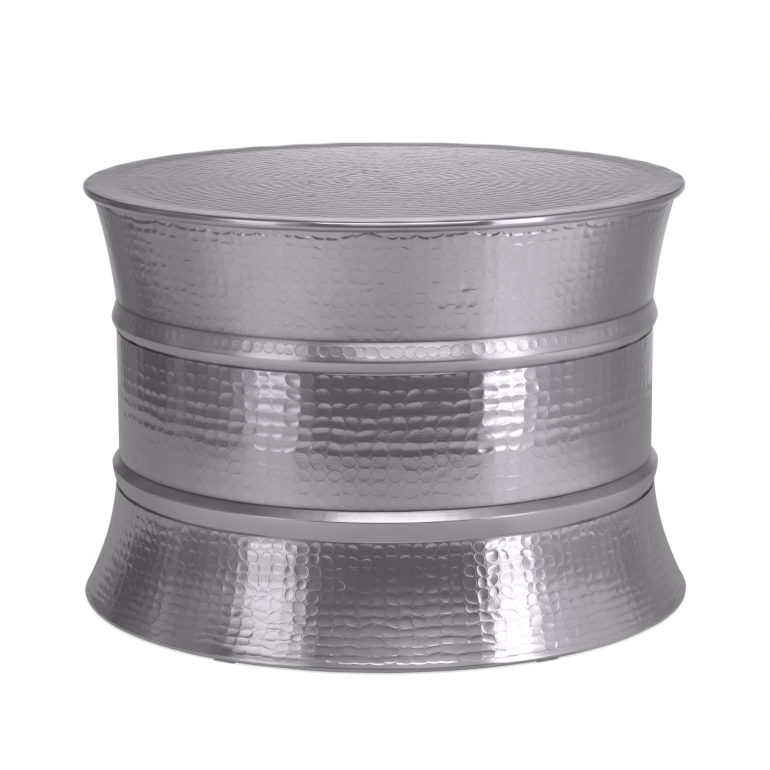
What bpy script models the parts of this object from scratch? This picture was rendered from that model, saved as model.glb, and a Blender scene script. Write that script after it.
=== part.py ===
"""Hammered aluminium drum table.

A round lid lies over a wooden board on three sheet drums. Two hollow hoops with necks join the drums, and
the rim and the foot are rolled round wires. Sizes are in metres, +Z is up, and the origin is on the floor
under the middle of the table.
"""
import math

import bpy
from mathutils import Vector

# Radii to the outside of the sheet
RIM_RADIUS = 0.302
WAIST_RADIUS = 0.2722
SKIRT_NECK_STEP = 0.0036
FOOT_RADIUS = 0.310

# Heights of the pieces, stacked from the floor up
PAD_THICKNESS = 0.0015
SKIRT_HEIGHT = 0.1167
LOWER_HOOP_HEIGHT = 0.0299
MIDDLE_HEIGHT = 0.1299
UPPER_HOOP_HEIGHT = 0.031
UPPER_HEIGHT = 0.116

# Sheet, wires and fits
SHEET = 0.0012
GAP = 0.0003
RIM_WIRE_RADIUS = 0.002
FOOT_WIRE_RADIUS = 0.0015
NECK_LENGTH = 0.010
BOARD_THICKNESS = 0.012

# Flares: the share of a flare that is reached at half of the wall's height
UPPER_FLARE_SHARE = 0.26
SKIRT_FLARE_SHARE = 0.13

# Hoops: how far the ridge stands out from the necks, the share of the hoop's height that lies above it,
# and how round the faces above and below it are (1 is a plain slope, 2 a parabola)
UPPER_RIDGE = 0.006
UPPER_RIDGE_PLACE = 0.5
UPPER_ROUND_ABOVE = 1.1
UPPER_ROUND_BELOW = 1.8
LOWER_RIDGE = 0.0075
LOWER_RIDGE_PLACE = 0.31
LOWER_ROUND_ABOVE = 1.1
LOWER_ROUND_BELOW = 1.3

# Rolled edges
RIM_ROLL_END = math.radians(-115)
RIM_HOOK_END = math.radians(65)
FOOT_ROLL_END = math.radians(-200)

# Floor pads
PAD_COUNT = 6
PAD_LENGTH = 0.024
PAD_WIDTH = 0.006
PAD_EDGE = 0.0004

# Facets
ROUND_STEPS = 56
WALL_STEPS = 5
RIDGE_STEPS = 3
RIM_ROLL_STEPS = 8
FOOT_ROLL_STEPS = 7
HOOK_STEPS = 4
WIRE_STEPS = 6
MERGE_DISTANCE = 0.00001

# Levels and radii that follow from the sizes above
LOWER_HOOP_BOTTOM = PAD_THICKNESS + SKIRT_HEIGHT
LOWER_HOOP_TOP = LOWER_HOOP_BOTTOM + LOWER_HOOP_HEIGHT
UPPER_HOOP_BOTTOM = LOWER_HOOP_TOP + MIDDLE_HEIGHT
UPPER_HOOP_TOP = UPPER_HOOP_BOTTOM + UPPER_HOOP_HEIGHT
TABLE_TOP = UPPER_HOOP_TOP + UPPER_HEIGHT
SKIRT_NECK_RADIUS = WAIST_RADIUS + SKIRT_NECK_STEP
LAP = SHEET + GAP
RIM_HOOK = RIM_WIRE_RADIUS + GAP
RIM_ROLL = RIM_HOOK + LAP + SHEET
FOOT_ROLL = FOOT_WIRE_RADIUS + LAP
RIM_CENTRE = Vector((RIM_RADIUS - RIM_ROLL, TABLE_TOP - RIM_ROLL))
FOOT_CENTRE = Vector((FOOT_RADIUS - FOOT_ROLL, PAD_THICKNESS + GAP + FOOT_ROLL))


class Wall:
    """Outer face of a drum, in radius and height, as a bowed line from its top edge to its bottom edge.

    The handle of the bow is at half height, so height falls evenly along the line.
    """

    def __init__(self, top, bottom, handle_radius):
        self.top = top
        self.bottom = bottom
        self.handle = Vector((handle_radius, (top.y + bottom.y) / 2))

    def share_at(self, height):
        return (self.top.y - height) / (self.top.y - self.bottom.y)

    def point(self, share):
        rest = 1 - share
        return rest * rest * self.top + 2 * rest * share * self.handle + share * share * self.bottom

    def inset(self, share, depth):
        """Point at a depth behind the outer face, measured square to it."""
        run = (1 - share) * (self.handle - self.top) + share * (self.bottom - self.handle)
        outward = Vector((-run.y, run.x)).normalized()
        return self.point(share) - depth * outward

    def profile(self, steps):
        return [self.point(step / steps) for step in range(steps + 1)]


def arc(centre, radius, start, end, steps):
    """Points of a round stretch from one angle to another, both ends included."""
    angles = [start + (end - start) * step / steps for step in range(steps + 1)]
    return [centre + radius * Vector((math.cos(angle), math.sin(angle))) for angle in angles]


def blend(start, end, share):
    return start + (end - start) * share


def upper_wall():
    """Flared wall whose top runs into the hook round the rim wire."""
    waist = Vector((WAIST_RADIUS, UPPER_HOOP_TOP + GAP))
    level = Vector((RIM_CENTRE.x - RIM_HOOK, RIM_CENTRE.y))
    handle = blend(waist.x, level.x, UPPER_FLARE_SHARE)
    lean = math.atan2(level.x - handle, (level.y - waist.y) / 2)
    top = RIM_CENTRE + RIM_HOOK * Vector((-math.cos(lean), math.sin(lean)))
    return Wall(top, waist, handle), math.pi - lean


def middle_wall():
    """Upright wall between the two hoops."""
    top = Vector((WAIST_RADIUS, UPPER_HOOP_BOTTOM - GAP))
    bottom = Vector((WAIST_RADIUS, LOWER_HOOP_TOP + GAP))
    return Wall(top, bottom, WAIST_RADIUS)


def skirt_wall():
    """Hollow flare whose foot runs into the roll round the foot wire."""
    neck = Vector((SKIRT_NECK_RADIUS, LOWER_HOOP_BOTTOM - GAP))
    level = Vector((FOOT_RADIUS, FOOT_CENTRE.y))
    handle = blend(neck.x, level.x, SKIRT_FLARE_SHARE)
    lean = math.atan2(level.x - handle, (neck.y - level.y) / 2)
    foot = FOOT_CENTRE + FOOT_ROLL * Vector((math.cos(lean), math.sin(lean)))
    return Wall(neck, foot, handle), lean


def hoop_profile(wall_above, wall_below, top, bottom, ridge, place, round_above, round_below):
    """Outer face of a hoop: upper neck, face above the ridge, face below it and lower neck.

    The necks lie behind the walls that slide over them, so each wall stops at the foot of the ridge.
    """
    neck_above = wall_above.inset(wall_above.share_at(top + NECK_LENGTH), LAP)
    neck_below = wall_below.inset(wall_below.share_at(bottom - NECK_LENGTH), LAP)
    root_above = wall_above.inset(1, LAP).x
    root_below = wall_below.inset(0, LAP).x
    away = [step / RIDGE_STEPS for step in range(RIDGE_STEPS + 1)]
    stations = [(blend(place, 0.0, part), 1 - part ** round_above) for part in reversed(away)]
    stations += [(blend(place, 1.0, part), 1 - part ** round_below) for part in away[1:]]
    face = [
        Vector((blend(root_above, root_below, share) + ridge * rise, blend(top, bottom, share)))
        for share, rise in stations
    ]
    return [neck_above] + face + [neck_below]


def material(name, colour, roughness, metallic):
    finish = bpy.data.materials.new(name)
    finish.use_nodes = True
    shader = finish.node_tree.nodes["Principled BSDF"]
    shader.inputs["Base Color"].default_value = (*colour, 1.0)
    shader.inputs["Roughness"].default_value = roughness
    shader.inputs["Metallic"].default_value = metallic
    finish.diffuse_color = (*colour, 1.0)
    return finish


def finish_object(piece, parts, surface):
    """Name, material and collection of a finished piece."""
    for owner in piece.users_collection:
        owner.objects.unlink(piece)
    parts.objects.link(piece)
    piece.data.materials.clear()
    piece.data.materials.append(surface)


def turned(name, profile, surface, parts, sheet=0.0):
    """Solid turned from a profile round +Z, or a sheet of the given thickness behind that profile."""
    mesh = bpy.data.meshes.new(name)
    points = [(point.x, 0.0, point.y) for point in profile]
    edges = [(start, start + 1) for start in range(len(points) - 1)]
    mesh.from_pydata(points, edges, [])
    piece = bpy.data.objects.new(name, mesh)
    parts.objects.link(piece)
    screw = piece.modifiers.new("turn", "SCREW")
    screw.axis = "Z"
    screw.angle = math.tau
    screw.steps = ROUND_STEPS
    screw.render_steps = ROUND_STEPS
    screw.use_merge_vertices = True
    screw.merge_threshold = MERGE_DISTANCE
    screw.use_smooth_shade = True
    if sheet:
        wall = piece.modifiers.new("sheet", "SOLIDIFY")
        wall.thickness = sheet
        wall.offset = -1.0
        wall.use_even_offset = True
    finish_object(piece, parts, surface)
    return piece


def wire_ring(name, centre, radius, surface, parts):
    bpy.ops.mesh.primitive_torus_add(
        major_radius=centre.x, minor_radius=radius, location=(0.0, 0.0, centre.y),
        major_segments=ROUND_STEPS, minor_segments=WIRE_STEPS)
    ring = bpy.context.object
    ring.name = name
    ring.data.shade_smooth()
    finish_object(ring, parts, surface)


def add_lid(parts):
    """Round sheet whose edge rolls over the hook of the upper drum and closes under it."""
    surface = material("lid_aluminium", (0.66, 0.65, 0.67), 0.32, 1.0)
    roll = arc(RIM_CENTRE, RIM_ROLL, math.pi / 2, RIM_ROLL_END, RIM_ROLL_STEPS)
    turned("top_sheet", [Vector((0.0, TABLE_TOP))] + roll, surface, parts, SHEET)


def add_board(parts):
    """Wooden disc that wedges in the taper of the upper drum, under the lid."""
    surface = material("board_wood", (0.52, 0.38, 0.24), 0.75, 0.0)
    wall, _ = upper_wall()
    top = TABLE_TOP - LAP
    bottom = top - BOARD_THICKNESS
    shoulder = wall.inset(0, LAP)
    edge = wall.inset(wall.share_at(bottom), LAP)
    profile = [
        Vector((0.0, top)),
        Vector((shoulder.x, top)),
        shoulder,
        Vector((edge.x, bottom)),
        Vector((0.0, bottom)),
    ]
    turned("top_board", profile, surface, parts)


def add_upper_drum(parts):
    """Flared sheet wall; its top edge hooks out over the rim wire."""
    surface = material("upper_aluminium", (0.62, 0.61, 0.63), 0.30, 1.0)
    wall, hook_start = upper_wall()
    hook = arc(RIM_CENTRE, RIM_HOOK, RIM_HOOK_END, hook_start, HOOK_STEPS)
    turned("upper_drum", hook[:-1] + wall.profile(WALL_STEPS), surface, parts, SHEET)


def add_middle_drum(parts):
    """Upright sheet wall that slides over a neck of each hoop."""
    surface = material("middle_aluminium", (0.58, 0.57, 0.59), 0.26, 1.0)
    turned("middle_drum", middle_wall().profile(1), surface, parts, SHEET)


def add_skirt(parts):
    """Flared sheet wall; its bottom edge rolls in round the foot wire."""
    surface = material("skirt_aluminium", (0.60, 0.59, 0.61), 0.24, 1.0)
    wall, roll_start = skirt_wall()
    roll = arc(FOOT_CENTRE, FOOT_ROLL, roll_start, FOOT_ROLL_END, FOOT_ROLL_STEPS)
    turned("foot_skirt", wall.profile(WALL_STEPS) + roll[1:], surface, parts, SHEET)


def add_hoops(parts):
    """Two hollow hoops, open to the inside, that couple the drums."""
    surface = material("hoop_aluminium", (0.64, 0.63, 0.65), 0.28, 1.0)
    upper, _ = upper_wall()
    skirt, _ = skirt_wall()
    middle = middle_wall()
    upper_face = hoop_profile(
        upper, middle, UPPER_HOOP_TOP, UPPER_HOOP_BOTTOM,
        UPPER_RIDGE, UPPER_RIDGE_PLACE, UPPER_ROUND_ABOVE, UPPER_ROUND_BELOW)
    lower_face = hoop_profile(
        middle, skirt, LOWER_HOOP_TOP, LOWER_HOOP_BOTTOM,
        LOWER_RIDGE, LOWER_RIDGE_PLACE, LOWER_ROUND_ABOVE, LOWER_ROUND_BELOW)
    turned("upper_hoop", upper_face, surface, parts, SHEET)
    turned("lower_hoop", lower_face, surface, parts, SHEET)


def add_wires(parts):
    """Round wires that the rim and the foot are rolled over."""
    surface = material("wire_steel", (0.42, 0.42, 0.43), 0.45, 1.0)
    wire_ring("rim_wire", RIM_CENTRE, RIM_WIRE_RADIUS, surface, parts)
    wire_ring("foot_wire", FOOT_CENTRE, FOOT_WIRE_RADIUS, surface, parts)


def add_pads(parts):
    """Felt pads, evenly spaced under the rolled foot."""
    surface = material("pad_felt", (0.60, 0.59, 0.57), 0.95, 0.0)
    for index in range(PAD_COUNT):
        angle = math.tau * index / PAD_COUNT
        bpy.ops.mesh.primitive_cube_add(size=1.0)
        pad = bpy.context.object
        pad.name = f"floor_pad_{index + 1}"
        pad.scale = (PAD_WIDTH, PAD_LENGTH, PAD_THICKNESS)
        bpy.ops.object.transform_apply(location=False, rotation=False, scale=True)
        pad.location = (
            FOOT_CENTRE.x * math.cos(angle), FOOT_CENTRE.x * math.sin(angle), PAD_THICKNESS / 2)
        pad.rotation_euler.z = angle
        edge = pad.modifiers.new("edge", "BEVEL")
        edge.width = PAD_EDGE
        edge.segments = 1
        finish_object(pad, parts, surface)


for leftover in list(bpy.data.objects):
    bpy.data.objects.remove(leftover, do_unlink=True)
table = bpy.data.collections.new("hammered_drum_table")
bpy.context.scene.collection.children.link(table)
add_lid(table)
add_board(table)
add_upper_drum(table)
add_middle_drum(table)
add_skirt(table)
add_hoops(table)
add_wires(table)
add_pads(table)
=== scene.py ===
"""Hammered aluminium drum table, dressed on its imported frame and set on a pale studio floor.

The pieces follow each other as the table is put together: skirt, hoops and drums from the floor up, then the
board and the lid, then the pads. Sizes are in metres, +Z is up and the camera looks along +Y.
"""
import math

import bpy
import numpy as np
from mathutils import Euler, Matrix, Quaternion


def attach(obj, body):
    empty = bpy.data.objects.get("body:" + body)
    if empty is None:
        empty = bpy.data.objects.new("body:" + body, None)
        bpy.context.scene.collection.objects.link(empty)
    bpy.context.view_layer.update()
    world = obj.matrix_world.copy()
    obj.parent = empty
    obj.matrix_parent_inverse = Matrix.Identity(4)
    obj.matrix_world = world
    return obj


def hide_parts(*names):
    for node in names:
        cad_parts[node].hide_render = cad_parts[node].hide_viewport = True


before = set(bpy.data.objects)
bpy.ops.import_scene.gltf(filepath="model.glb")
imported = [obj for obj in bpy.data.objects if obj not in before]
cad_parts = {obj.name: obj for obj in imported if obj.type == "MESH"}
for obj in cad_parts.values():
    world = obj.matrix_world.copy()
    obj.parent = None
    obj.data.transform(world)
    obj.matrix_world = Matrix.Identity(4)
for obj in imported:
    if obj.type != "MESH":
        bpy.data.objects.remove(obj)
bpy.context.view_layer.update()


# Skirt: one band of soft aluminium sheet, spun to a hollow flare and planished all over from outside.
# Its neck slides over the lower hoop. Its bottom edge is hollowed a little and rolled in round a wire.
SHEET = 0.0012
SKIRT_NECK = np.array([0.2758, 0.1179])
SKIRT_FLARE_SHARE = 0.13
SKIRT_PLAIN_STRIP = 0.0045
SKIRT_HOLLOW_DEPTH = 0.0002
SKIRT_HOLLOW_WIDTH = 0.016
FOOT_ROLL_CENTRE = np.array([0.307, 0.0048])
FOOT_ROLL_RADIUS = 0.003
FOOT_ROLL_END = math.radians(-200)


def bowed_line(top, bottom, handle_radius, steps):
    """Points (1-s)^2 top + 2s(1-s) handle + s^2 bottom, with the handle at half height."""
    share = np.linspace(0.0, 1.0, steps)[:, None]
    handle = np.array([handle_radius, (top[1] + bottom[1]) / 2])
    return (1 - share) ** 2 * top + 2 * share * (1 - share) * handle + share ** 2 * bottom


def round_line(centre, radius, start, end, steps):
    """Points of a round bend: centre + radius (cos a, sin a), a running evenly from start to end."""
    angle = np.linspace(start, end, steps)[:, None]
    return centre + radius * np.hstack([np.cos(angle), np.sin(angle)])


def outward_of(line):
    """Unit normals of a line walked with the metal on its right: the run turned a quarter circle."""
    run = np.gradient(line, axis=0)
    normal = np.stack([-run[:, 1], run[:, 0]], axis=1)
    return normal / np.linalg.norm(normal, axis=1, keepdims=True)


def length_along(line):
    """Distance walked from the first point of a line to each of its points."""
    return np.concatenate([[0.0], np.cumsum(np.linalg.norm(np.diff(line, axis=0), axis=1))])


def hammered_grid(line, top, bottom, rows, steps, tilt, flatness, wander, slide, plain, seed):
    """Grid of a sheet hammered in rows: angle round the axis, distance walked, push and edge of each point.

    rows gives the blows, height, depth, trough and overlap of each row. The band from top to bottom is
    divided into one cell for each blow, and corners, blows and whole rows wander a little. steps are the
    places of the grid lines across and down a cell, crowded at its edges. Above and below the band the
    lines lie plain apart. Inside its cell a blow is a round dish: its depth and a slight tilt times
    1 - away^flatness, where away is (x^2 + y^2)^(1/2) over the blow's size and is 1 at its edge. x is drawn
    in by the overlap, so that the blows of a row run into each other, and the whole row is hollowed by its
    trough times 4 s (1 - s), s running from 0 to 1 down the row.
    """
    chance = np.random.default_rng(seed)
    reach = length_along(line)
    counts, heights, depths, troughs, overlaps = (np.array(part) for part in zip(*rows))
    last = len(counts)
    most = counts.max()
    column = (np.arange(most)[:, None] + steps[0]).ravel() / most
    row = np.append((np.arange(last)[:, None] + steps[1]).ravel(), last)[:, None]
    i = np.minimum(row.astype(int), last - 1)
    count = counts[i]
    margin = 1e-6
    j = (column * count + margin).astype(int)
    s = row - i
    t = column * count - j
    aside = wander * chance.normal(size=(last + 1, most + 1))
    down = wander * chance.normal(size=(last + 1, most + 1))
    aside += slide * np.cumsum(chance.normal(size=(last + 1, 1)), axis=0)
    down[[0, -1]] = 0.0
    weights = ((1 - s) * (1 - t), (1 - s) * t, s * (1 - t), s * t)
    after = (j + 1) % count
    corners = ((i, j), (i, after), (i + 1, j), (i + 1, after))
    turn = math.tau * (column + sum(weight * aside[at] for weight, at in zip(weights, corners)) / count)
    level = row + sum(weight * down[at] for weight, at in zip(weights, corners))
    share = np.interp(level, np.arange(last + 1), np.append(0.0, np.cumsum(heights)) / heights.sum())
    stray = wander * chance.normal(size=(2, last, most))
    x = (2 * t - 1) * (1 - overlaps[i]) - stray[0][i, j]
    y = 2 * s - 1 - stray[1][i, j]
    size = chance.uniform(low=0.90, high=1.14, size=(last, most))
    away = np.hypot(x, y) / size[i, j]
    dish = np.clip(1 - away ** flatness, 0.0, None)
    hardest = 1.6
    deep = depths[:, None] * np.minimum(chance.gamma(shape=6.0, scale=1 / 6, size=(last, most)), hardest)
    lean = tilt * chance.normal(size=(2, last, most))
    push = -dish * (deep[i, j] + lean[0][i, j] * x + lean[1][i, j] * y) - troughs[i] * 4 * s * (1 - s)
    closest = 0.0004
    off_blow = 1.2
    lead = np.arange(0.0, top - closest, plain)[:, None]
    tail = np.append(np.arange(bottom + plain / 2, reach[-1] - closest, plain), reach[-1])[:, None]
    wide = len(column)
    walk = np.concatenate([np.repeat(lead, wide, 1), top + (bottom - top) * share, np.repeat(tail, wide, 1)])
    beyond = ((len(lead), len(tail)), (0, 0))
    turn = np.pad(turn, beyond, mode="edge")
    push = np.pad(push, beyond)
    edge = np.pad(away, beyond, constant_values=off_blow)
    return turn, walk, push, edge


def slow_wave(turn, walk, height, seed):
    """Unevenness of sheet worked by hand: sine waves of whole turns round the drum, slanting down it."""
    chance = np.random.default_rng(seed)
    waves = 12
    turns = chance.integers(low=7, high=46, size=waves)
    slope = chance.uniform(low=-70.0, high=70.0, size=waves)
    phase = chance.uniform(low=0.0, high=math.tau, size=waves)
    total = sum(np.sin(turns[wave] * turn + slope[wave] * walk + phase[wave]) for wave in range(waves))
    return height * total / math.sqrt(waves)


def along_line(line, walk):
    """Point and outward normal of a line at each distance walked along it."""
    reach = length_along(line)
    normal = outward_of(line)
    point = np.stack([np.interp(walk, reach, line[:, 0]), np.interp(walk, reach, line[:, 1])], axis=-1)
    way = np.stack([np.interp(walk, reach, normal[:, 0]), np.interp(walk, reach, normal[:, 1])], axis=-1)
    return point, way / np.linalg.norm(way, axis=-1, keepdims=True)


def turned(radius, height, turn):
    """Points carried round the axis: (radius cos turn, radius sin turn, height)."""
    return np.stack(np.broadcast_arrays(radius * np.cos(turn), radius * np.sin(turn), height), axis=-1)


def sheet_shell(line, turn, walk, push, back_rows):
    """Both faces of a turned sheet as one closed loop of rows.

    Each grid point is its point of the line, pushed along the line's normal there and carried round the axis.
    The chosen rows then come back, last one first, one sheet thickness behind.
    """
    point, way = along_line(line, walk)
    outer = point + push[..., None] * way
    back = np.unique(np.concatenate([back_rows, [0, len(walk) - 1]]))[::-1]
    loop = np.concatenate([outer, (outer - SHEET * way)[back]])
    order = np.concatenate([np.arange(len(walk)), back])
    return turned(loop[..., 0], loop[..., 1], turn[order]), order


def woven_piece(name, points, marks, nodes, poles=False):
    """Mesh of four-sided faces between the neighbours of a grid that closes round the axis.

    The rows close into a loop too, or end in a fan round one middle point at each end when poles is set.
    marks holds named grids of numbers that the finish reads point by point.
    """
    rows, columns = points.shape[:2]
    index = np.arange(rows * columns).reshape(rows, columns)
    right = np.roll(index, -1, axis=1)
    if poles:
        quads = np.stack([index[:-1], index[1:], right[1:], right[:-1]], axis=-1).reshape(-1, 4).tolist()
        first = np.full(columns, rows * columns)
        last = first + 1
        quads += np.stack([first, index[0], right[0]], axis=-1).tolist()
        quads += np.stack([last, right[-1], index[-1]], axis=-1).tolist()
        corners = np.concatenate([points.reshape(-1, 3), points[[0, -1]].mean(axis=1)])
    else:
        below = np.roll(index, -1, axis=0)
        quads = np.stack([index, below, np.roll(right, -1, axis=0), right], axis=-1).reshape(-1, 4).tolist()
        corners = points.reshape(-1, 3)
    mesh = bpy.data.meshes.new(name)
    mesh.from_pydata(corners.tolist(), [], quads)
    for mark, values in marks.items():
        ends = values[[0, -1]].mean(axis=1) if poles else np.zeros(0)
        layer = mesh.attributes.new(mark, "FLOAT", "POINT")
        layer.data.foreach_set("value", np.concatenate([values.ravel(), ends]).astype(np.float32))
    mesh.shade_smooth()
    mesh.set_sharp_from_angle(angle=math.radians(48))
    piece = bpy.data.objects.new(name, mesh)
    bpy.context.scene.collection.objects.link(piece)
    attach(piece, "root")
    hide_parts(*nodes)
    return piece


def put(tree, kind, links=None, values=None, **options):
    """Adds a node with its options, the values of its sockets and the links into them."""
    node = tree.nodes.new(kind)
    for option, value in options.items():
        setattr(node, option, value)
    for socket, value in (values or {}).items():
        node.inputs[socket].default_value = value
    for socket, source in (links or {}).items():
        tree.links.new(source, node.inputs[socket])
    return node


def combine(tree, operation, *parts):
    """Output of a math node on its parts: numbers are set in it and the outputs of other nodes linked."""
    values = {place: part for place, part in enumerate(parts) if isinstance(part, float)}
    links = {place: part for place, part in enumerate(parts) if place not in values}
    return put(tree, "ShaderNodeMath", links, values, operation=operation).outputs["Value"]


def ramp(tree, value, low, high, first=0.0, last=1.0, **options):
    """Output that runs from first to last while the value runs from low to high, and is level beyond."""
    return put(
        tree, "ShaderNodeMapRange", {"Value": value},
        {"From Min": low, "From Max": high, "To Min": first, "To Max": last}, **options).outputs["Result"]


def new_finish(name):
    """A material made of nodes: itself, its tree, its shader and the piece's own coordinates."""
    finish = bpy.data.materials.new(name)
    finish.use_nodes = True
    tree = finish.node_tree
    return finish, tree, tree.nodes["Principled BSDF"], put(tree, "ShaderNodeTexCoord").outputs["Object"]


def aluminium(name, light, dark, gloss, streaks, grain, lip):
    """Worked aluminium: cloudy tone, pits, painted shade at joints and creases, spinning lines, fine grain
    and a burr round each blow.

    The burr is lip high at the blow's edge, where the colour is also a little darker as painted shade.
    streaks and grain scale the spinning lines and the grain.
    """
    finish, tree, shader, place = new_finish(name)
    shader.inputs["Metallic"].default_value = 1.0
    cloud = put(
        tree, "ShaderNodeTexNoise", {"Vector": place},
        {"Scale": 11.0, "Detail": 6.0, "Roughness": 0.62}).outputs["Fac"]
    speck = put(tree, "ShaderNodeTexNoise", {"Vector": place}, {"Scale": 420.0, "Detail": 3.0}).outputs["Fac"]
    drawn = put(tree, "ShaderNodeMapping", {"Vector": place}, {"Scale": (9.0, 9.0, 620.0)}).outputs["Vector"]
    streak = put(tree, "ShaderNodeTexNoise", {"Vector": drawn}, {"Scale": 1.0, "Detail": 4.0}).outputs["Fac"]
    edge = put(tree, "ShaderNodeAttribute", attribute_name="edge").outputs["Fac"]
    painted_shade = put(tree, "ShaderNodeAttribute", attribute_name="painted_shade").outputs["Fac"]
    tone = put(
        tree, "ShaderNodeMix", {"Factor": ramp(tree, cloud, 0.3, 0.7)},
        {"A": (*dark, 1.0), "B": (*light, 1.0)}, data_type="RGBA").outputs["Result"]
    beside = combine(tree, "ABSOLUTE", combine(tree, "SUBTRACT", edge, 1.0))
    burr = ramp(tree, beside, 0.0, 0.16, 1.0, 0.0, interpolation_type="SMOOTHSTEP")
    # Painted shade: the colour is up to 7% darker along the edge of each blow.
    blow_edge_shade = combine(tree, "MULTIPLY_ADD", burr, -0.07, 1.0)
    pitted_and_edge_shade = combine(tree, "MULTIPLY", blow_edge_shade, ramp(tree, speck, 0.64, 0.78, 1.0, 0.80))
    # Painted shade: the colour falls to 0.30 where the piece's mark is 1, at joints and creases, and it is
    # rougher there.
    pits_and_painted_shade = combine(tree, "MULTIPLY", pitted_and_edge_shade, ramp(tree, painted_shade, 0.0, 1.0, 1.0, 0.30))
    colour = put(tree, "ShaderNodeVectorMath", {0: tone, "Scale": pits_and_painted_shade}, operation="SCALE")
    tree.links.new(colour.outputs["Vector"], shader.inputs["Base Color"])
    satin = ramp(tree, cloud, 0.25, 0.75, gloss - 0.03, gloss + 0.05)
    matt = combine(tree, "MULTIPLY_ADD", painted_shade, 0.25, satin)
    brushed = combine(tree, "MULTIPLY_ADD", streak, 0.12 * streaks, matt)
    tree.links.new(brushed, shader.inputs["Roughness"])
    raised = combine(tree, "MULTIPLY", burr, lip)
    lines = combine(tree, "MULTIPLY_ADD", streak, 0.0001 * streaks, raised)
    rough = combine(tree, "MULTIPLY_ADD", speck, 0.0001 * grain, lines)
    bump = put(tree, "ShaderNodeBump", {"Height": rough}, {"Strength": 1.0, "Distance": 1.0})
    tree.links.new(bump.outputs["Normal"], shader.inputs["Normal"])
    return finish


def painted_shade_falloff(walk, place, spread):
    """Painted shade of 1 at a place along a line, a joint or crease, fading out on both sides by
    exp(-distance / spread).
    """
    return np.exp(-np.abs(walk - place) / spread)


foot_level = np.array([FOOT_ROLL_CENTRE[0] + FOOT_ROLL_RADIUS, FOOT_ROLL_CENTRE[1]])
skirt_handle = SKIRT_NECK[0] + SKIRT_FLARE_SHARE * (foot_level[0] - SKIRT_NECK[0])
skirt_lean = math.atan2(foot_level[0] - skirt_handle, (SKIRT_NECK[1] - foot_level[1]) / 2)
skirt_roll = round_line(FOOT_ROLL_CENTRE, FOOT_ROLL_RADIUS, skirt_lean, FOOT_ROLL_END, steps=40)
skirt_wall = bowed_line(SKIRT_NECK, skirt_roll[0], skirt_handle, steps=200)
skirt_line = np.concatenate([skirt_wall, skirt_roll[1:]])
skirt_end = length_along(skirt_wall)[-1]
cell_steps = np.array([0.0, 0.07, 0.20, 0.40, 0.60, 0.80, 0.93])
skirt_rows = [(144, 1.0, 0.00018, 0.0, -0.05)] * 5 + [(144, 0.9, 0.00016, 0.00006, 0.10)] * 2
skirt_rows += [(144, 0.8, 0.00016, 0.00008, 0.20)] * 2 + [(144, 0.7, 0.00013, 0.00006, 0.30)] * 2
skirt_turn, skirt_walk, skirt_blows, skirt_edge = hammered_grid(
    skirt_line, top=0.0004, bottom=skirt_end - SKIRT_PLAIN_STRIP, rows=skirt_rows,
    steps=(cell_steps, cell_steps), tilt=0.00008, flatness=2.8, wander=0.11, slide=0.08,
    plain=0.0013, seed=11)
hollow_share = np.clip((skirt_walk - skirt_end) / SKIRT_HOLLOW_WIDTH + 1, 0.0, 1.0)
skirt_hollow = SKIRT_HOLLOW_DEPTH * np.sin(math.pi * hollow_share) ** 2
skirt_push = skirt_blows - skirt_hollow + slow_wave(skirt_turn, skirt_walk, height=0.00016, seed=12)
skirt_points, skirt_order = sheet_shell(
    skirt_line, skirt_turn, skirt_walk, skirt_push, back_rows=np.arange(0, len(skirt_walk), 14))
skirt = woven_piece(
    "skirt", skirt_points, {
        "edge": skirt_edge[skirt_order],
        # Painted shade, at half strength, darkens the skirt's top edge where it meets the lower hoop.
        "painted_shade": 0.5 * painted_shade_falloff(skirt_walk, 0.0, spread=0.0010)[skirt_order],
    }, ["foot_skirt"])
skirt.data.materials.append(aluminium(
    "skirt_aluminium", light=(0.61, 0.585, 0.62), dark=(0.53, 0.505, 0.54), gloss=0.10, streaks=0.15,
    grain=0.3, lip=0.00004))


# Foot wire: a length of plain drawn steel wire, butted into a ring, that the skirt's edge is rolled round.
# It is gripped by the roll and shows only at the roll's inner gap.
FOOT_WIRE_RADIUS = 0.0015


def drawn_steel(name):
    """Plain drawn wire: dark grey with fine draw lines and a little rust-brown dust."""
    finish, tree, shader, place = new_finish(name)
    shader.inputs["Metallic"].default_value = 1.0
    dust = put(tree, "ShaderNodeTexNoise", {"Vector": place}, {"Scale": 60.0, "Detail": 5.0}).outputs["Fac"]
    drawn = put(tree, "ShaderNodeMapping", {"Vector": place}, {"Scale": (30.0, 30.0, 4000.0)})
    lines = put(
        tree, "ShaderNodeTexNoise", {"Vector": drawn.outputs["Vector"]}, {"Scale": 1.0, "Detail": 3.0})
    colour = put(
        tree, "ShaderNodeMix", {"Factor": ramp(tree, dust, 0.55, 0.75)},
        {"A": (0.40, 0.40, 0.41, 1.0), "B": (0.24, 0.17, 0.12, 1.0)}, data_type="RGBA")
    tree.links.new(colour.outputs["Result"], shader.inputs["Base Color"])
    tree.links.new(ramp(tree, dust, 0.3, 0.7, 0.36, 0.62), shader.inputs["Roughness"])
    bump = put(
        tree, "ShaderNodeBump", {"Height": lines.outputs["Fac"]}, {"Strength": 0.3, "Distance": 0.0002})
    tree.links.new(bump.outputs["Normal"], shader.inputs["Normal"])
    return finish


def wire_ring(name, centre, radius, node):
    """Round wire bent into a ring: a circle of the wire's radius carried round the axis."""
    turn = np.linspace(0.0, math.tau, 420, endpoint=False)
    section = round_line(centre, radius, math.tau, 0.0, steps=15)[:-1]
    return woven_piece(name, turned(section[:, :1], section[:, 1:], turn), {}, [node])


wire_steel = drawn_steel("wire_steel_drawn")
foot_wire = wire_ring("foot_ring", FOOT_ROLL_CENTRE, FOOT_WIRE_RADIUS, "foot_wire")
foot_wire.data.materials.append(wire_steel)


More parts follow.
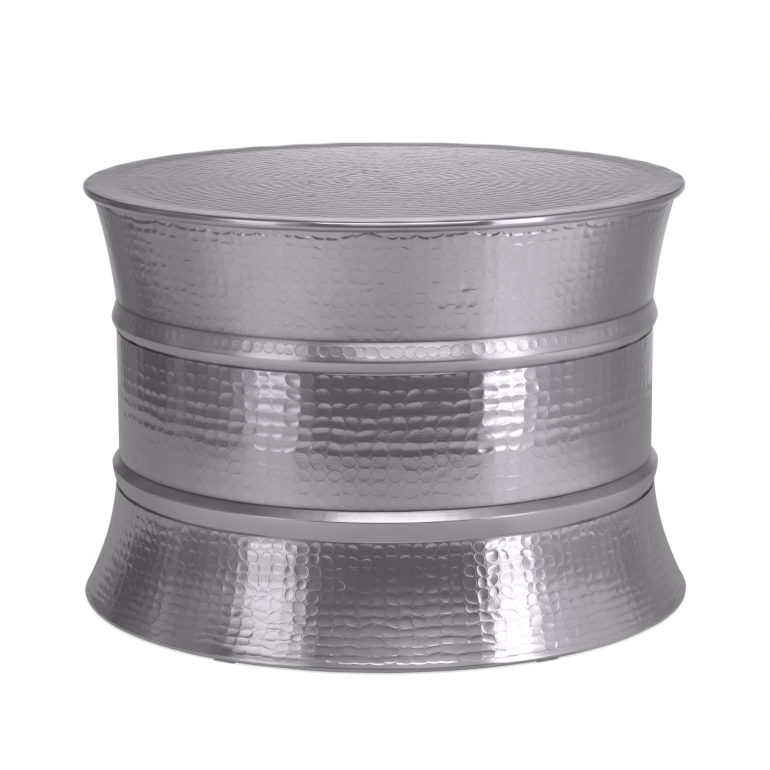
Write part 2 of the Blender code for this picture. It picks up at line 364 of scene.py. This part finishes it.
# Lower hoop: a hollow ring of spun sheet with a short face above its ridge, a long one below and two necks.
# The middle drum and the skirt slide over its necks and are spot-welded there from inside.
NECK_LENGTH = 0.010
LAP = 0.0015
WAIST = 0.2722
LOWER_HOOP_TOP = 0.1481
LOWER_HOOP_BOTTOM = 0.1182
LOWER_NECK_ROOT = 0.2743
LOWER_NECK_END = 0.2753
LOWER_RIDGE = 0.0075
LOWER_RIDGE_PLACE = 0.31
LOWER_ROUND_ABOVE = 1.1
LOWER_ROUND_BELOW = 1.3


def hoop_line(neck_above, top_root, bottom_root, neck_below, ridge, place, round_above, round_below, steps):
    """Neck, two faces and neck of a hoop.

    The faces stand out by ridge (1 - away^roundness), away being 0 at the ridge and 1 at the foot of a face.
    """
    away = np.linspace(0.0, 1.0, steps)[:, None]
    share = np.concatenate([place * (1 - away[::-1]), place + (1 - place) * away[1:]])
    rise = ridge * np.concatenate([1 - away[::-1] ** round_above, 1 - away[1:] ** round_below])
    face = top_root + share * (bottom_root - top_root) + rise * np.array([1.0, 0.0])
    lead = np.linspace(0.0, 1.0, 4)[:-1, None]
    above = neck_above + lead * (top_root - neck_above)
    below = neck_below + lead[::-1] * (bottom_root - neck_below)
    return np.concatenate([above, face, below])


lower_hoop_line = hoop_line(
    np.array([WAIST - LAP, LOWER_HOOP_TOP + NECK_LENGTH]), np.array([WAIST - LAP, LOWER_HOOP_TOP]),
    np.array([LOWER_NECK_ROOT, LOWER_HOOP_BOTTOM]),
    np.array([LOWER_NECK_END, LOWER_HOOP_BOTTOM - NECK_LENGTH]),
    LOWER_RIDGE, LOWER_RIDGE_PLACE, LOWER_ROUND_ABOVE, LOWER_ROUND_BELOW, steps=16)
lower_hoop_rows = [(152, 1.0, 0.00005, 0.0, 0.2)]
hoop_steps = np.array([0.0, 0.10, 0.30, 0.50, 0.70, 0.90])
lower_hoop_turn, lower_hoop_walk, lower_hoop_blows, lower_hoop_edge = hammered_grid(
    lower_hoop_line, top=0.0106, bottom=0.0218, rows=lower_hoop_rows, steps=(hoop_steps, hoop_steps),
    tilt=0.00003, flatness=2.6, wander=0.05, slide=0.0, plain=0.0008, seed=21)
lower_hoop_push = lower_hoop_blows + slow_wave(lower_hoop_turn, lower_hoop_walk, height=0.00010, seed=22)
lower_hoop_points, lower_hoop_order = sheet_shell(
    lower_hoop_line, lower_hoop_turn, lower_hoop_walk, lower_hoop_push,
    back_rows=np.arange(0, len(lower_hoop_walk), 5))
lower_hoop = woven_piece(
    "hoop_lower", lower_hoop_points, {
        "edge": lower_hoop_edge[lower_hoop_order],
        # Painted shade darkens the hoop at the foot of its upper neck, where the middle drum's edge meets it.
        "painted_shade": painted_shade_falloff(lower_hoop_walk, NECK_LENGTH, spread=0.0012)[lower_hoop_order],
    }, ["lower_hoop"])
lower_hoop.data.materials.append(aluminium(
    "lower_hoop_aluminium", light=(0.60, 0.575, 0.61), dark=(0.52, 0.497, 0.53), gloss=0.18, streaks=0.7,
    grain=0.3, lip=0.0))


# Middle drum: an upright band of sheet, planished in level rows of round blows.
# It slides over the necks of both hoops, and its edges stop at the foot of their ridges.
MIDDLE_TOP = np.array([WAIST, 0.2777])
MIDDLE_BOTTOM = np.array([WAIST, 0.1484])

middle_line = bowed_line(MIDDLE_TOP, MIDDLE_BOTTOM, WAIST, steps=120)
middle_end = length_along(middle_line)[-1]
middle_rows = [(118, 1.0, 0.00020, 0.00004, 0.04)] * 6 + [(118, 1.0, 0.00004, 0.0, -0.04)] * 4
middle_turn, middle_walk, middle_blows, middle_edge = hammered_grid(
    middle_line, top=0.0004, bottom=0.1284, rows=middle_rows, steps=(cell_steps, cell_steps),
    tilt=0.00004, flatness=2.4, wander=0.08, slide=0.10, plain=0.0013, seed=31)
middle_push = middle_blows + slow_wave(middle_turn, middle_walk, height=0.00008, seed=32)
middle_points, middle_order = sheet_shell(
    middle_line, middle_turn, middle_walk, middle_push, back_rows=np.arange(0, len(middle_walk), 8))
middle_drum = woven_piece(
    "drum_middle", middle_points, {
        "edge": middle_edge[middle_order],
        # Painted shade darkens the drum's bottom edge where it meets the lower hoop.
        "painted_shade": painted_shade_falloff(middle_walk, middle_end, spread=0.0012)[middle_order],
    }, ["middle_drum"])
middle_drum.data.materials.append(aluminium(
    "middle_aluminium", light=(0.58, 0.554, 0.599), dark=(0.50, 0.476, 0.518), gloss=0.11, streaks=0.15,
    grain=0.3, lip=0.00002))


# Upper hoop: a hollow ring like the lower one, with its ridge below the middle and a rounder face under it.
# Its upper face is dented by one row of blows, and its lower face keeps the lines of the spinning tool.
UPPER_HOOP_TOP = 0.309
UPPER_HOOP_BOTTOM = 0.278
UPPER_NECK_END = 0.2717
UPPER_RIDGE = 0.006
UPPER_RIDGE_PLACE = 0.59
UPPER_ROUND_ABOVE = 1.1
UPPER_ROUND_BELOW = 1.8
SPIN_START = 0.0293
SPIN_PITCH = 0.0044
SPIN_DEPTH = 0.00003

upper_hoop_line = hoop_line(
    np.array([UPPER_NECK_END, UPPER_HOOP_TOP + NECK_LENGTH]), np.array([WAIST - LAP, UPPER_HOOP_TOP]),
    np.array([WAIST - LAP, UPPER_HOOP_BOTTOM]), np.array([WAIST - LAP, UPPER_HOOP_BOTTOM - NECK_LENGTH]),
    UPPER_RIDGE, UPPER_RIDGE_PLACE, UPPER_ROUND_ABOVE, UPPER_ROUND_BELOW, steps=16)
upper_hoop_rows = [(154, 1.0, 0.00015, 0.0, 0.02)]
upper_hoop_turn, upper_hoop_walk, upper_hoop_blows, upper_hoop_edge = hammered_grid(
    upper_hoop_line, top=0.0142, bottom=0.0252, rows=upper_hoop_rows, steps=(hoop_steps, hoop_steps),
    tilt=0.00008, flatness=2.6, wander=0.07, slide=0.0, plain=0.0008, seed=41)
spin_walk = upper_hoop_walk - SPIN_START
upper_hoop_spun = SPIN_DEPTH * np.sin(math.tau * spin_walk / SPIN_PITCH) * (spin_walk > 0)
upper_hoop_uneven = slow_wave(upper_hoop_turn, upper_hoop_walk, height=0.00010, seed=42)
upper_hoop_push = upper_hoop_blows + upper_hoop_spun + upper_hoop_uneven
upper_hoop_points, upper_hoop_order = sheet_shell(
    upper_hoop_line, upper_hoop_turn, upper_hoop_walk, upper_hoop_push,
    back_rows=np.arange(0, len(upper_hoop_walk), 5))
upper_hoop = woven_piece(
    "hoop_upper", upper_hoop_points, {
        "edge": upper_hoop_edge[upper_hoop_order],
        # Painted shade darkens the hoop at the foot of its upper neck, under the upper drum's foot.
        "painted_shade": painted_shade_falloff(upper_hoop_walk, NECK_LENGTH, spread=0.0016)[upper_hoop_order],
    }, ["upper_hoop"])
upper_hoop.data.materials.append(aluminium(
    "upper_hoop_aluminium", light=(0.61, 0.585, 0.62), dark=(0.53, 0.505, 0.54), gloss=0.16, streaks=0.6,
    grain=0.3, lip=0.00005))


# Upper drum: a band of sheet flared to the rim and planished lightly, with scallops under the rim and a few
# hard blows. Its foot slides over the upper hoop and its top edge hooks out over the rim wire.
RIM_CENTRE = np.array([0.297, 0.420])
RIM_HOOK_RADIUS = 0.0023
RIM_HOOK_END = math.radians(65)
UPPER_FLARE_SHARE = 0.26
UPPER_FOOT_GAP = 0.0003
UPPER_SHADE_PLACE = 0.0072
HARD_BLOWS = ((4.906, 0.0770), (4.958, 0.0772), (5.007, 0.0768), (4.985, 0.0610))
HARD_BLOW_DEPTH = 0.0003
HARD_BLOW_REACH = 0.0062
HARD_BLOW_WALL = 0.276

upper_foot = np.array([WAIST, UPPER_HOOP_TOP + UPPER_FOOT_GAP])
hook_level = np.array([RIM_CENTRE[0] - RIM_HOOK_RADIUS, RIM_CENTRE[1]])
upper_handle = WAIST + UPPER_FLARE_SHARE * (hook_level[0] - WAIST)
upper_lean = math.atan2(hook_level[0] - upper_handle, (hook_level[1] - upper_foot[1]) / 2)
rim_hook = round_line(RIM_CENTRE, RIM_HOOK_RADIUS, RIM_HOOK_END, math.pi - upper_lean, steps=30)
upper_wall = bowed_line(rim_hook[-1], upper_foot, upper_handle, steps=200)
upper_line = np.concatenate([rim_hook[:-1], upper_wall])
upper_end = length_along(upper_line)[-1]
upper_start = upper_end - length_along(upper_wall)[-1] + 0.0002
upper_rows = [(136, 1.22, 0.0013, 0.0002, 0.05), (136, 0.9, 0.00030, 0.0, 0.0)]
upper_rows += [(136, 1.0, 0.00011, 0.0, -0.10)] * 5 + [(136, 1.0, 0.00005, 0.0, -0.10)] * 3
upper_turn, upper_walk, upper_blows, upper_edge = hammered_grid(
    upper_line, top=upper_start, bottom=upper_end - 0.0012, rows=upper_rows, steps=(cell_steps, cell_steps),
    tilt=0.00007, flatness=2.4, wander=0.14, slide=0.10, plain=0.0015, seed=51)
for hard_turn, hard_walk in HARD_BLOWS:
    hard_aside = HARD_BLOW_WALL * (upper_turn - hard_turn)
    hard_away = np.hypot(hard_aside, upper_walk - upper_start - hard_walk) / HARD_BLOW_REACH
    upper_blows = upper_blows - HARD_BLOW_DEPTH * np.clip(1 - hard_away ** 3, 0.0, None)
upper_push = upper_blows + slow_wave(upper_turn, upper_walk, height=0.00010, seed=52)
upper_points, upper_order = sheet_shell(
    upper_line, upper_turn, upper_walk, upper_push, back_rows=np.arange(0, len(upper_walk), 10))
# Painted shade, in uneven patches, along the crease under the rim, and painted shade at the foot where the
# drum meets the upper hoop.
upper_shade_patches = np.clip(0.6 + slow_wave(upper_turn, upper_walk, height=0.5, seed=53), 0.1, 1.0)
upper_painted_shade = np.maximum(
    upper_shade_patches * painted_shade_falloff(upper_walk, upper_start + UPPER_SHADE_PLACE, spread=0.0020),
    painted_shade_falloff(upper_walk, upper_end, spread=0.0014))
upper_drum = woven_piece(
    "drum_upper", upper_points, {
        "edge": upper_edge[upper_order],
        "painted_shade": upper_painted_shade[upper_order],
    }, ["upper_drum"])
upper_drum.data.materials.append(aluminium(
    "upper_aluminium", light=(0.60, 0.573, 0.619), dark=(0.53, 0.505, 0.548), gloss=0.14, streaks=0.15,
    grain=0.3, lip=0.00002))


# Rim wire: drawn steel wire like the foot's, a little thicker, that stiffens the rim.
# It lies in the hook of the upper drum, and the lid's roll closes over both.
RIM_WIRE_RADIUS = 0.002

rim_wire = wire_ring("rim_ring", RIM_CENTRE, RIM_WIRE_RADIUS, "rim_wire")
rim_wire.data.materials.append(wire_steel)


# Board: a disc of birch plywood with a bevelled edge, dropped into the flare before the lid is closed.
# It wedges on the taper and carries what is set on the thin top.
BOARD_TOP = 0.4223
BOARD_BOTTOM = 0.4115
BOARD_EDGE = np.array([
    [0.2906, 0.4221], [0.2909, 0.4214], [0.2909, 0.4196], [0.2887, 0.4125], [0.2881, 0.4118]])
BOARD_HUB = 0.02
BOARD_FACE_RADIUS = 0.2899
BOARD_TAPER = 0.003
BOARD_RINGS = 14


def plywood(name):
    """Birch plywood: long wavering grain on the faces, thin light and dark plies on the edge."""
    finish, tree, shader, place = new_finish(name)
    drawn = put(tree, "ShaderNodeMapping", {"Vector": place}, {"Scale": (3.0, 42.0, 900.0)})
    grain = put(
        tree, "ShaderNodeTexNoise", {"Vector": drawn.outputs["Vector"]},
        {"Scale": 1.0, "Detail": 8.0, "Roughness": 0.6, "Distortion": 0.7}).outputs["Fac"]
    pores = put(tree, "ShaderNodeMapping", {"Vector": place}, {"Scale": (60.0, 900.0, 900.0)})
    pore = put(
        tree, "ShaderNodeTexNoise", {"Vector": pores.outputs["Vector"]},
        {"Scale": 1.0, "Detail": 2.0}).outputs["Fac"]
    wood = put(tree, "ShaderNodeValToRGB", {"Fac": grain})
    wood.color_ramp.elements[0].position = 0.30
    wood.color_ramp.elements[0].color = (0.36, 0.24, 0.13, 1.0)
    wood.color_ramp.elements[1].position = 0.68
    wood.color_ramp.elements[1].color = (0.60, 0.45, 0.29, 1.0)
    dark = ramp(tree, pore, 0.58, 0.75, 1.0, 0.7)
    colour = put(
        tree, "ShaderNodeVectorMath", {0: wood.outputs["Color"], "Scale": dark}, operation="SCALE")
    tree.links.new(colour.outputs["Vector"], shader.inputs["Base Color"])
    tree.links.new(ramp(tree, grain, 0.0, 1.0, 0.62, 0.82), shader.inputs["Roughness"])
    bump = put(tree, "ShaderNodeBump", {"Height": pore}, {"Strength": 0.35, "Distance": 0.0003})
    tree.links.new(bump.outputs["Normal"], shader.inputs["Normal"])
    return finish


board_turn = np.linspace(0.0, math.tau, 240, endpoint=False)
board_radii = np.linspace(BOARD_HUB, BOARD_FACE_RADIUS, BOARD_RINGS)
board_top = np.stack([board_radii, np.full(BOARD_RINGS, BOARD_TOP)], axis=1)
board_bottom = np.stack([board_radii[::-1] - BOARD_TAPER, np.full(BOARD_RINGS, BOARD_BOTTOM)], axis=1)
board_line = np.concatenate([board_top, BOARD_EDGE, board_bottom])
board = woven_piece(
    "board", turned(board_line[:, :1], board_line[:, 1:], board_turn), {}, ["top_board"],
    poles=True)
board.data.materials.append(plywood("birch_plywood"))


# Lid: a disc of sheet planished in close rings from the middle out, smoother towards the edge.
# Its edge is bent down sharply and rolled under, over the hook and the wire, and makes the bead of the rim.
TABLE_TOP = 0.425
RIM_ROLL_RADIUS = 0.005
RIM_ROLL_START = 1.5
RIM_ROLL_END = math.radians(-115)
RIM_CORNER = 5.0
RIM_BEVEL = 1.3
LID_RING_GAP = 0.0115
LID_RINGS = 25
LID_MOST_BLOWS = 144
LID_MOST_HALVINGS = 4
LID_HALVING_RADIUS = 0.29
LID_FIELD = (0.003, 0.2965)
LID_DISH = 0.0008
LID_DISH_EDGE = 0.264
LID_FADE_WIDTH = 0.024
LID_WAVER_WIDTH = 0.009


def squared_line(centre, radius, start, end, corner, bevel, steps):
    """Points of a rolled edge: centre + radius (cos a, sin a), each to the power 2/n with its sign kept.

    n is the corner's above the centre, the bevel's below it and 2, which is round, past straight down.
    """
    angle = np.linspace(start, end, steps)[:, None]
    power = 2 / np.where(angle > 0, corner, np.where(angle > -math.pi / 2, bevel, 2.0))
    way = np.hstack([np.cos(angle), np.sin(angle)])
    return centre + radius * np.sign(way) * np.abs(way) ** power


lid_radii = np.linspace(*LID_FIELD, 240)
lid_rise = np.clip((lid_radii - LID_DISH_EDGE) / (RIM_CENTRE[0] - LID_DISH_EDGE), 0.0, 1.0)
lid_field = np.stack([lid_radii, TABLE_TOP - LID_DISH * (1 + np.cos(math.pi * lid_rise)) / 2], axis=1)
lid_roll = squared_line(
    RIM_CENTRE, RIM_ROLL_RADIUS, RIM_ROLL_START, RIM_ROLL_END, RIM_CORNER, RIM_BEVEL, steps=60)
lid_line = np.concatenate([lid_field, lid_roll])
lid_end = LID_RINGS * LID_RING_GAP
lid_halvings = np.floor(np.log2(LID_HALVING_RADIUS / (LID_RING_GAP * (np.arange(LID_RINGS) + 0.9))))
lid_blow_counts = LID_MOST_BLOWS / 2 ** np.clip(lid_halvings, 0, LID_MOST_HALVINGS)
lid_troughs = np.linspace(0.00008, 0.00003, LID_RINGS)
lid_rows = [(int(blows), 1.0, 0.00010, trough, 0.20) for blows, trough in zip(lid_blow_counts, lid_troughs)]
lid_steps = (np.array([0.0, 0.15, 0.50, 0.85]), np.array([0.0, 0.10, 0.35, 0.65, 0.90]))
lid_turn, lid_walk, lid_blows, lid_edge = hammered_grid(
    lid_line, top=0.0, bottom=lid_end, rows=lid_rows, steps=lid_steps, tilt=0.00010, flatness=2.4,
    wander=0.09, slide=0.3, plain=0.0006, seed=61)
lid_fade = np.clip((lid_end - lid_walk) / LID_FADE_WIDTH, 0.55, 1.0)
lid_waver = slow_wave(lid_turn, lid_walk, height=0.00014, seed=62)
lid_push = lid_blows * lid_fade + lid_waver * np.clip((lid_walk - lid_end) / LID_WAVER_WIDTH, 0.0, 1.0)
lid_points, lid_order = sheet_shell(
    lid_line, lid_turn, lid_walk, lid_push, back_rows=np.arange(132, len(lid_walk), 12))
lid = woven_piece(
    "lid", lid_points, {
        "edge": (lid_edge * (lid_walk < lid_end))[lid_order],
        # Painted shade darkens the end of the rolled edge, tucked under the rim.
        "painted_shade": painted_shade_falloff(lid_walk, length_along(lid_line)[-1], spread=0.0012)[lid_order],
    }, ["top_sheet"], poles=True)
lid.data.materials.append(aluminium(
    "lid_aluminium", light=(0.60, 0.575, 0.622), dark=(0.54, 0.515, 0.561), gloss=0.12, streaks=0.0,
    grain=0.3, lip=0.00001))


# Floor pads: six strips of pale wool felt, cut from sheet and glued under the rolled foot.
# They keep the bare metal off the floor.
PAD_COUNT = 6
PAD_LENGTH = 0.024
PAD_WIDTH = 0.005
PAD_INSET = 0.0008
PAD_THICKNESS = 0.0015


def wool_felt(name):
    """Pressed wool, off-white and painted paler to offset the shade under the roll, with darker stray fibres
    and a rough, soft surface.
    """
    finish, tree, shader, place = new_finish(name)
    shader.inputs["Sheen Weight"].default_value = 0.3
    tuft = put(tree, "ShaderNodeTexNoise", {"Vector": place}, {"Scale": 1500.0, "Detail": 4.0}).outputs["Fac"]
    fibre = put(
        tree, "ShaderNodeTexWave", {"Vector": place}, {"Scale": 500.0, "Distortion": 14.0, "Detail": 3.0})
    # Both felt colours are painted paler than the felt itself, to offset the shade it sits in under the roll.
    colour = put(
        tree, "ShaderNodeMix", {"Factor": fibre.outputs["Fac"]},
        {"A": (0.68, 0.67, 0.65, 1.0), "B": (0.84, 0.83, 0.81, 1.0)}, data_type="RGBA")
    tree.links.new(colour.outputs["Result"], shader.inputs["Base Color"])
    tree.links.new(ramp(tree, tuft, 0.0, 1.0, 0.88, 1.0), shader.inputs["Roughness"])
    bump = put(tree, "ShaderNodeBump", {"Height": tuft}, {"Strength": 0.6, "Distance": 0.0002})
    tree.links.new(bump.outputs["Normal"], shader.inputs["Normal"])
    return finish


def felt_strip(name, middle_angle, node):
    """A flat rounded strip bent round the axis.

    Its section is a superellipse, swept along an arc and drawn in at both ends by the same curve.
    """
    around = np.linspace(0.0, math.tau, 28, endpoint=False)
    lift = np.linspace(-math.pi / 2, math.pi / 2, 15)[1:-1, None]
    squareness = 0.35
    side = np.sign(np.cos(around)) * np.abs(np.cos(around)) ** squareness
    end = np.sign(np.sin(around)) * np.abs(np.sin(around)) ** squareness
    girth = np.abs(np.cos(lift)) ** squareness
    level = np.sign(np.sin(lift)) * np.abs(np.sin(lift)) ** squareness
    radius = FOOT_ROLL_CENTRE[0] - PAD_INSET + PAD_WIDTH / 2 * girth * side
    angle = middle_angle + PAD_LENGTH / 2 * girth * end / FOOT_ROLL_CENTRE[0]
    height = PAD_THICKNESS / 2 * (1 + level)
    return woven_piece(name, turned(radius, height, angle)[::-1], {}, [node], poles=True)


pad_felt = wool_felt("pale_wool_felt")
for pad in range(PAD_COUNT):
    strip = felt_strip(f"felt_{pad + 1}", math.tau * pad / PAD_COUNT, f"floor_pad_{pad + 1}")
    strip.data.materials.append(pad_felt)


# Floor: a round of pale seamless paper under the table, lit by the studio and white to the camera.
# It keeps the table's shadow. In the metal's reflections it shows painted light: soft pools and a fan to the
# right.
FLOOR_RADIUS = 1.15
FLOOR_SIDES = 128
FLOOR_PAINTED_POOLS = (
    ((0.78, -0.55, 0.0), 0.75, 0.36),
    ((-0.52, -0.62, 0.0), 0.65, 0.24),
    ((0.25, -1.0, 0.0), 0.50, 0.08),
    ((0.68, -0.10, 0.0), 0.34, 0.16))

floor_turn = np.linspace(0.0, math.tau, FLOOR_SIDES, endpoint=False)
floor_mesh = bpy.data.meshes.new("paper_floor")
floor_mesh.from_pydata(turned(FLOOR_RADIUS, 0.0, floor_turn).tolist(), [], [list(range(FLOOR_SIDES))])
floor = bpy.data.objects.new("paper_floor", floor_mesh)
bpy.context.scene.collection.objects.link(floor)
paper, paper_tree, paper_shader, paper_place = new_finish("pale_paper")
paper_shader.inputs["Base Color"].default_value = (0.76, 0.76, 0.76, 1.0)
paper_shader.inputs["Roughness"].default_value = 1.0
paper_shader.inputs["Specular IOR Level"].default_value = 0.0
paper_shader.inputs["Emission Color"].default_value = (1.0, 1.0, 1.0, 1.0)
paper_path = put(paper_tree, "ShaderNodeLightPath")
paper_seen = combine(paper_tree, "MULTIPLY", paper_path.outputs["Is Camera Ray"], 0.70)
paper_split = put(paper_tree, "ShaderNodeSeparateXYZ", {"Vector": paper_place})
# Painted light for glossy rays only: a faint strip in front, a fan to the right and soft pools, added to the
# emission.
paper_front = ramp(paper_tree, paper_split.outputs["Y"], -0.35, 0.25, 0.01, 0.0)
paper_ahead = combine(paper_tree, "MULTIPLY", paper_split.outputs["Y"], -1.0)
paper_bearing = combine(paper_tree, "ARCTAN2", paper_split.outputs["X"], paper_ahead)
paper_edge = ramp(paper_tree, paper_bearing, 0.62, 0.70, 0.0, 0.12)
paper_fade = ramp(paper_tree, paper_bearing, 0.8, 1.4, 1.0, 0.0)
paper_painted_light = combine(paper_tree, "MULTIPLY_ADD", paper_edge, paper_fade, paper_front)
for pool_place, pool_reach, pool_strength in FLOOR_PAINTED_POOLS:
    paper_far = put(
        paper_tree, "ShaderNodeVectorMath", {0: paper_place}, {1: pool_place}, operation="DISTANCE")
    paper_painted_pool = ramp(
        paper_tree, paper_far.outputs["Value"], 0.1, pool_reach, pool_strength, 0.0,
        interpolation_type="SMOOTHSTEP")
    paper_painted_light = combine(paper_tree, "ADD", paper_painted_light, paper_painted_pool)
paper_glow = combine(
    paper_tree, "MULTIPLY_ADD", paper_path.outputs["Is Glossy Ray"], paper_painted_light, paper_seen)
paper_tree.links.new(paper_glow, paper_shader.inputs["Emission Strength"])
floor.data.materials.append(paper)


# Studio: white to the camera all round. The metal sees a dark room in front, side walls darker at their foot
# and a paler wall behind. On each side stands a tall soft box with a wider one round its upper part and a
# low strip at its foot, one more hangs in front above the table, and strips stand close in front and behind.
ROOM_TINT = (1.0, 0.985, 1.01)
ROOM_BEARINGS = (
    (-173, 0.51), (-164, 0.47), (-156, 0.39), (-149, 0.20), (-129, 0.24), (-126, 0.15), (-104, 0.25),
    (-97, 0.41), (-88, 0.27), (-76, 0.36), (-66, 0.42), (-58, 0.52), (-40, 0.45), (-28, 0.20), (0, 0.17),
    (31, 0.18), (38, 0.23), (43, 0.42), (49, 0.82), (55, 0.95), (62, 0.95), (68, 0.84), (78, 0.70),
    (90, 0.64), (108, 0.56), (113, 0.42), (124, 0.34), (142, 0.35), (158, 0.55), (174, 0.62), (180, 0.74))

scene = bpy.context.scene
scene.view_settings.view_transform = "Standard"
room = bpy.data.worlds.new("studio")
room.use_nodes = True
scene.world = room
room_tree = room.node_tree
backdrop = room_tree.nodes["Background"]
room_path = put(room_tree, "ShaderNodeLightPath")
room_way = put(room_tree, "ShaderNodeTexCoord").outputs["Generated"]
room_split = put(room_tree, "ShaderNodeSeparateXYZ", {"Vector": room_way})
room_front = combine(room_tree, "MULTIPLY", room_split.outputs["Y"], -1.0)
room_bearing = combine(room_tree, "ARCTAN2", room_split.outputs["X"], room_front)
room_round = ramp(room_tree, room_bearing, -math.pi, math.pi)
room_wall = put(room_tree, "ShaderNodeValToRGB", {"Fac": room_round})
room_stops = room_wall.color_ramp.elements
room_stops.remove(room_stops[1])
for bearing, brightness in ROOM_BEARINGS:
    stop = room_stops.new((bearing + 180) / 360)
    stop.color = (*(tint * brightness for tint in ROOM_TINT), 1.0)
room_stops[0].color = room_stops[-1].color
room_behind = ramp(room_tree, room_split.outputs["Y"], 0.6, 0.9, 0.0, 0.85)
room_rise = ramp(room_tree, room_split.outputs["Z"], 0.08, 0.27)
room_fall = combine(room_tree, "MULTIPLY", room_behind, room_rise)
room_low = combine(room_tree, "SUBTRACT", 1.0, room_fall)
room_high = ramp(room_tree, room_split.outputs["Z"], 0.55, 0.85, 1.0, 0.45)
room_fade = combine(room_tree, "MULTIPLY", room_low, room_high)
room_aside = combine(room_tree, "ABSOLUTE", room_split.outputs["X"])
room_sides = ramp(room_tree, room_aside, 0.80, 0.93, 0.0, 0.33)
room_foot = ramp(room_tree, room_split.outputs["Z"], 0.10, 0.18, 1.0, 0.0)
room_dado = combine(room_tree, "MULTIPLY", room_sides, room_foot)
room_rest = combine(room_tree, "SUBTRACT", 1.0, room_dado)
room_level = combine(room_tree, "MULTIPLY", room_fade, room_rest)
room_seen = put(
    room_tree, "ShaderNodeVectorMath", {0: room_wall.outputs["Color"], "Scale": room_level},
    operation="SCALE")


def lobe(toward, near, far, middle, rim):
    """Brightness that goes from middle to rim between two angles from a direction."""
    along = put(room_tree, "ShaderNodeVectorMath", {0: room_way}, {1: toward}, operation="DOT_PRODUCT")
    angle = combine(room_tree, "ARCCOSINE", along.outputs["Value"])
    return ramp(room_tree, angle, near, far, middle, rim)


room_hole = lobe((-0.726, -0.419, 0.545), near=0.12, far=0.32, middle=0.4, rim=1.0)
room_ceiling = lobe((0.10, -0.49, 0.866), near=0.0, far=0.87, middle=0.60, rim=0.0)
room_spot = lobe((0.329, -0.739, 0.588), near=0.0, far=0.38, middle=0.28, rim=0.0)
room_gap = put(
    room_tree, "ShaderNodeVectorMath", {0: room_seen.outputs["Vector"], "Scale": room_hole},
    operation="SCALE")
room_above = put(
    room_tree, "ShaderNodeVectorMath", {0: room_gap.outputs["Vector"], 1: room_ceiling}, operation="ADD")
room_lit = put(
    room_tree, "ShaderNodeVectorMath", {0: room_above.outputs["Vector"], 1: room_spot}, operation="ADD")
room_glossy = put(
    room_tree, "ShaderNodeMix",
    {"Factor": room_path.outputs["Is Glossy Ray"], "B": room_lit.outputs["Vector"]},
    {"A": (0.45, 0.45, 0.45, 1.0)}, data_type="RGBA")
room_clear = combine(
    room_tree, "MAXIMUM", room_path.outputs["Is Camera Ray"], room_path.outputs["Is Transmission Ray"])
room_white = put(
    room_tree, "ShaderNodeMix", {"Factor": room_clear, "A": room_glossy.outputs["Result"]},
    {"B": (1.0, 1.0, 1.0, 1.0)}, data_type="RGBA")
room_tree.links.new(room_white.outputs["Result"], backdrop.inputs["Color"])


def soft_box(name, place, aim, width, height, brightness):
    """A flat rectangular lamp at place that faces aim; its power is brightness times pi times its area."""
    lamp = bpy.data.lights.new(name, "AREA")
    lamp.shape = "RECTANGLE"
    lamp.size = width
    lamp.size_y = height
    lamp.energy = brightness * math.pi * width * height
    box = bpy.data.objects.new(name, lamp)
    bpy.context.scene.collection.objects.link(box)
    way = np.array(aim) - np.array(place)
    box.location = place
    box.rotation_euler = (math.atan2(math.hypot(way[0], way[1]), -way[2]), 0.0, math.atan2(-way[0], way[1]))
    box.visible_camera = False
    return box


soft_box("box_left", (-0.993, -1.06, 0.41), (-0.108, -0.249, 0.41), 0.42, 0.82, 0.44)
soft_box("box_left_low", (-0.986, -1.053, 0.0255), (-0.101, -0.242, 0.0255), 0.40, 0.069, 0.62)
soft_box("box_left_high", (-1.001, -1.05, 0.63), (-0.116, -0.239, 0.63), 0.715, 0.66, 0.36)
soft_box("box_right", (1.048, -0.998, 0.51), (0.102, -0.259, 0.51), 0.425, 1.06, 0.74)
soft_box("box_right_low", (1.04, -0.992, 0.0255), (0.094, -0.253, 0.0255), 0.40, 0.069, 1.25)
soft_box("box_right_high", (1.085, -0.961, 0.65), (0.139, -0.222, 0.65), 0.56, 0.78, 0.30)
soft_box("box_over", (0.06, -0.745, 0.970), (0.06, 0.011, 0.315), 0.79, 0.595, 1.40)
soft_box("box_near", (0.09, -0.625, 0.47), (0.09, -0.275, 0.30), 0.42, 0.12, 0.52)
soft_box("box_back", (0.05, 1.0, 0.49), (0.05, 0.0, 0.49), 0.62, 0.12, 0.17).data.shape = "ELLIPSE"


# Camera: a long lens at hip height, nearly three metres in front, looking a little down.
# It is rolled a quarter of a degree about its own axis. Lens and sensor are in millimetres.
CAMERA_DISTANCE = 2.866
CAMERA_HEIGHT = 0.80955
CAMERA_PITCH = 0.20553
CAMERA_ROLL = math.radians(-0.23)
CAMERA_LENS = 133.8
CAMERA_SENSOR = 36.0

lens = bpy.data.cameras.new("camera")
lens.lens = CAMERA_LENS
lens.sensor_width = CAMERA_SENSOR
camera = bpy.data.objects.new("camera", lens)
scene.collection.objects.link(camera)
camera.location = (0.0, -CAMERA_DISTANCE, CAMERA_HEIGHT)
camera.rotation_mode = "QUATERNION"
camera.rotation_quaternion = (
    Euler((math.pi / 2 - CAMERA_PITCH, 0.0, 0.0)).to_quaternion() @ Quaternion((0.0, 0.0, 1.0), CAMERA_ROLL))
scene.camera = camera
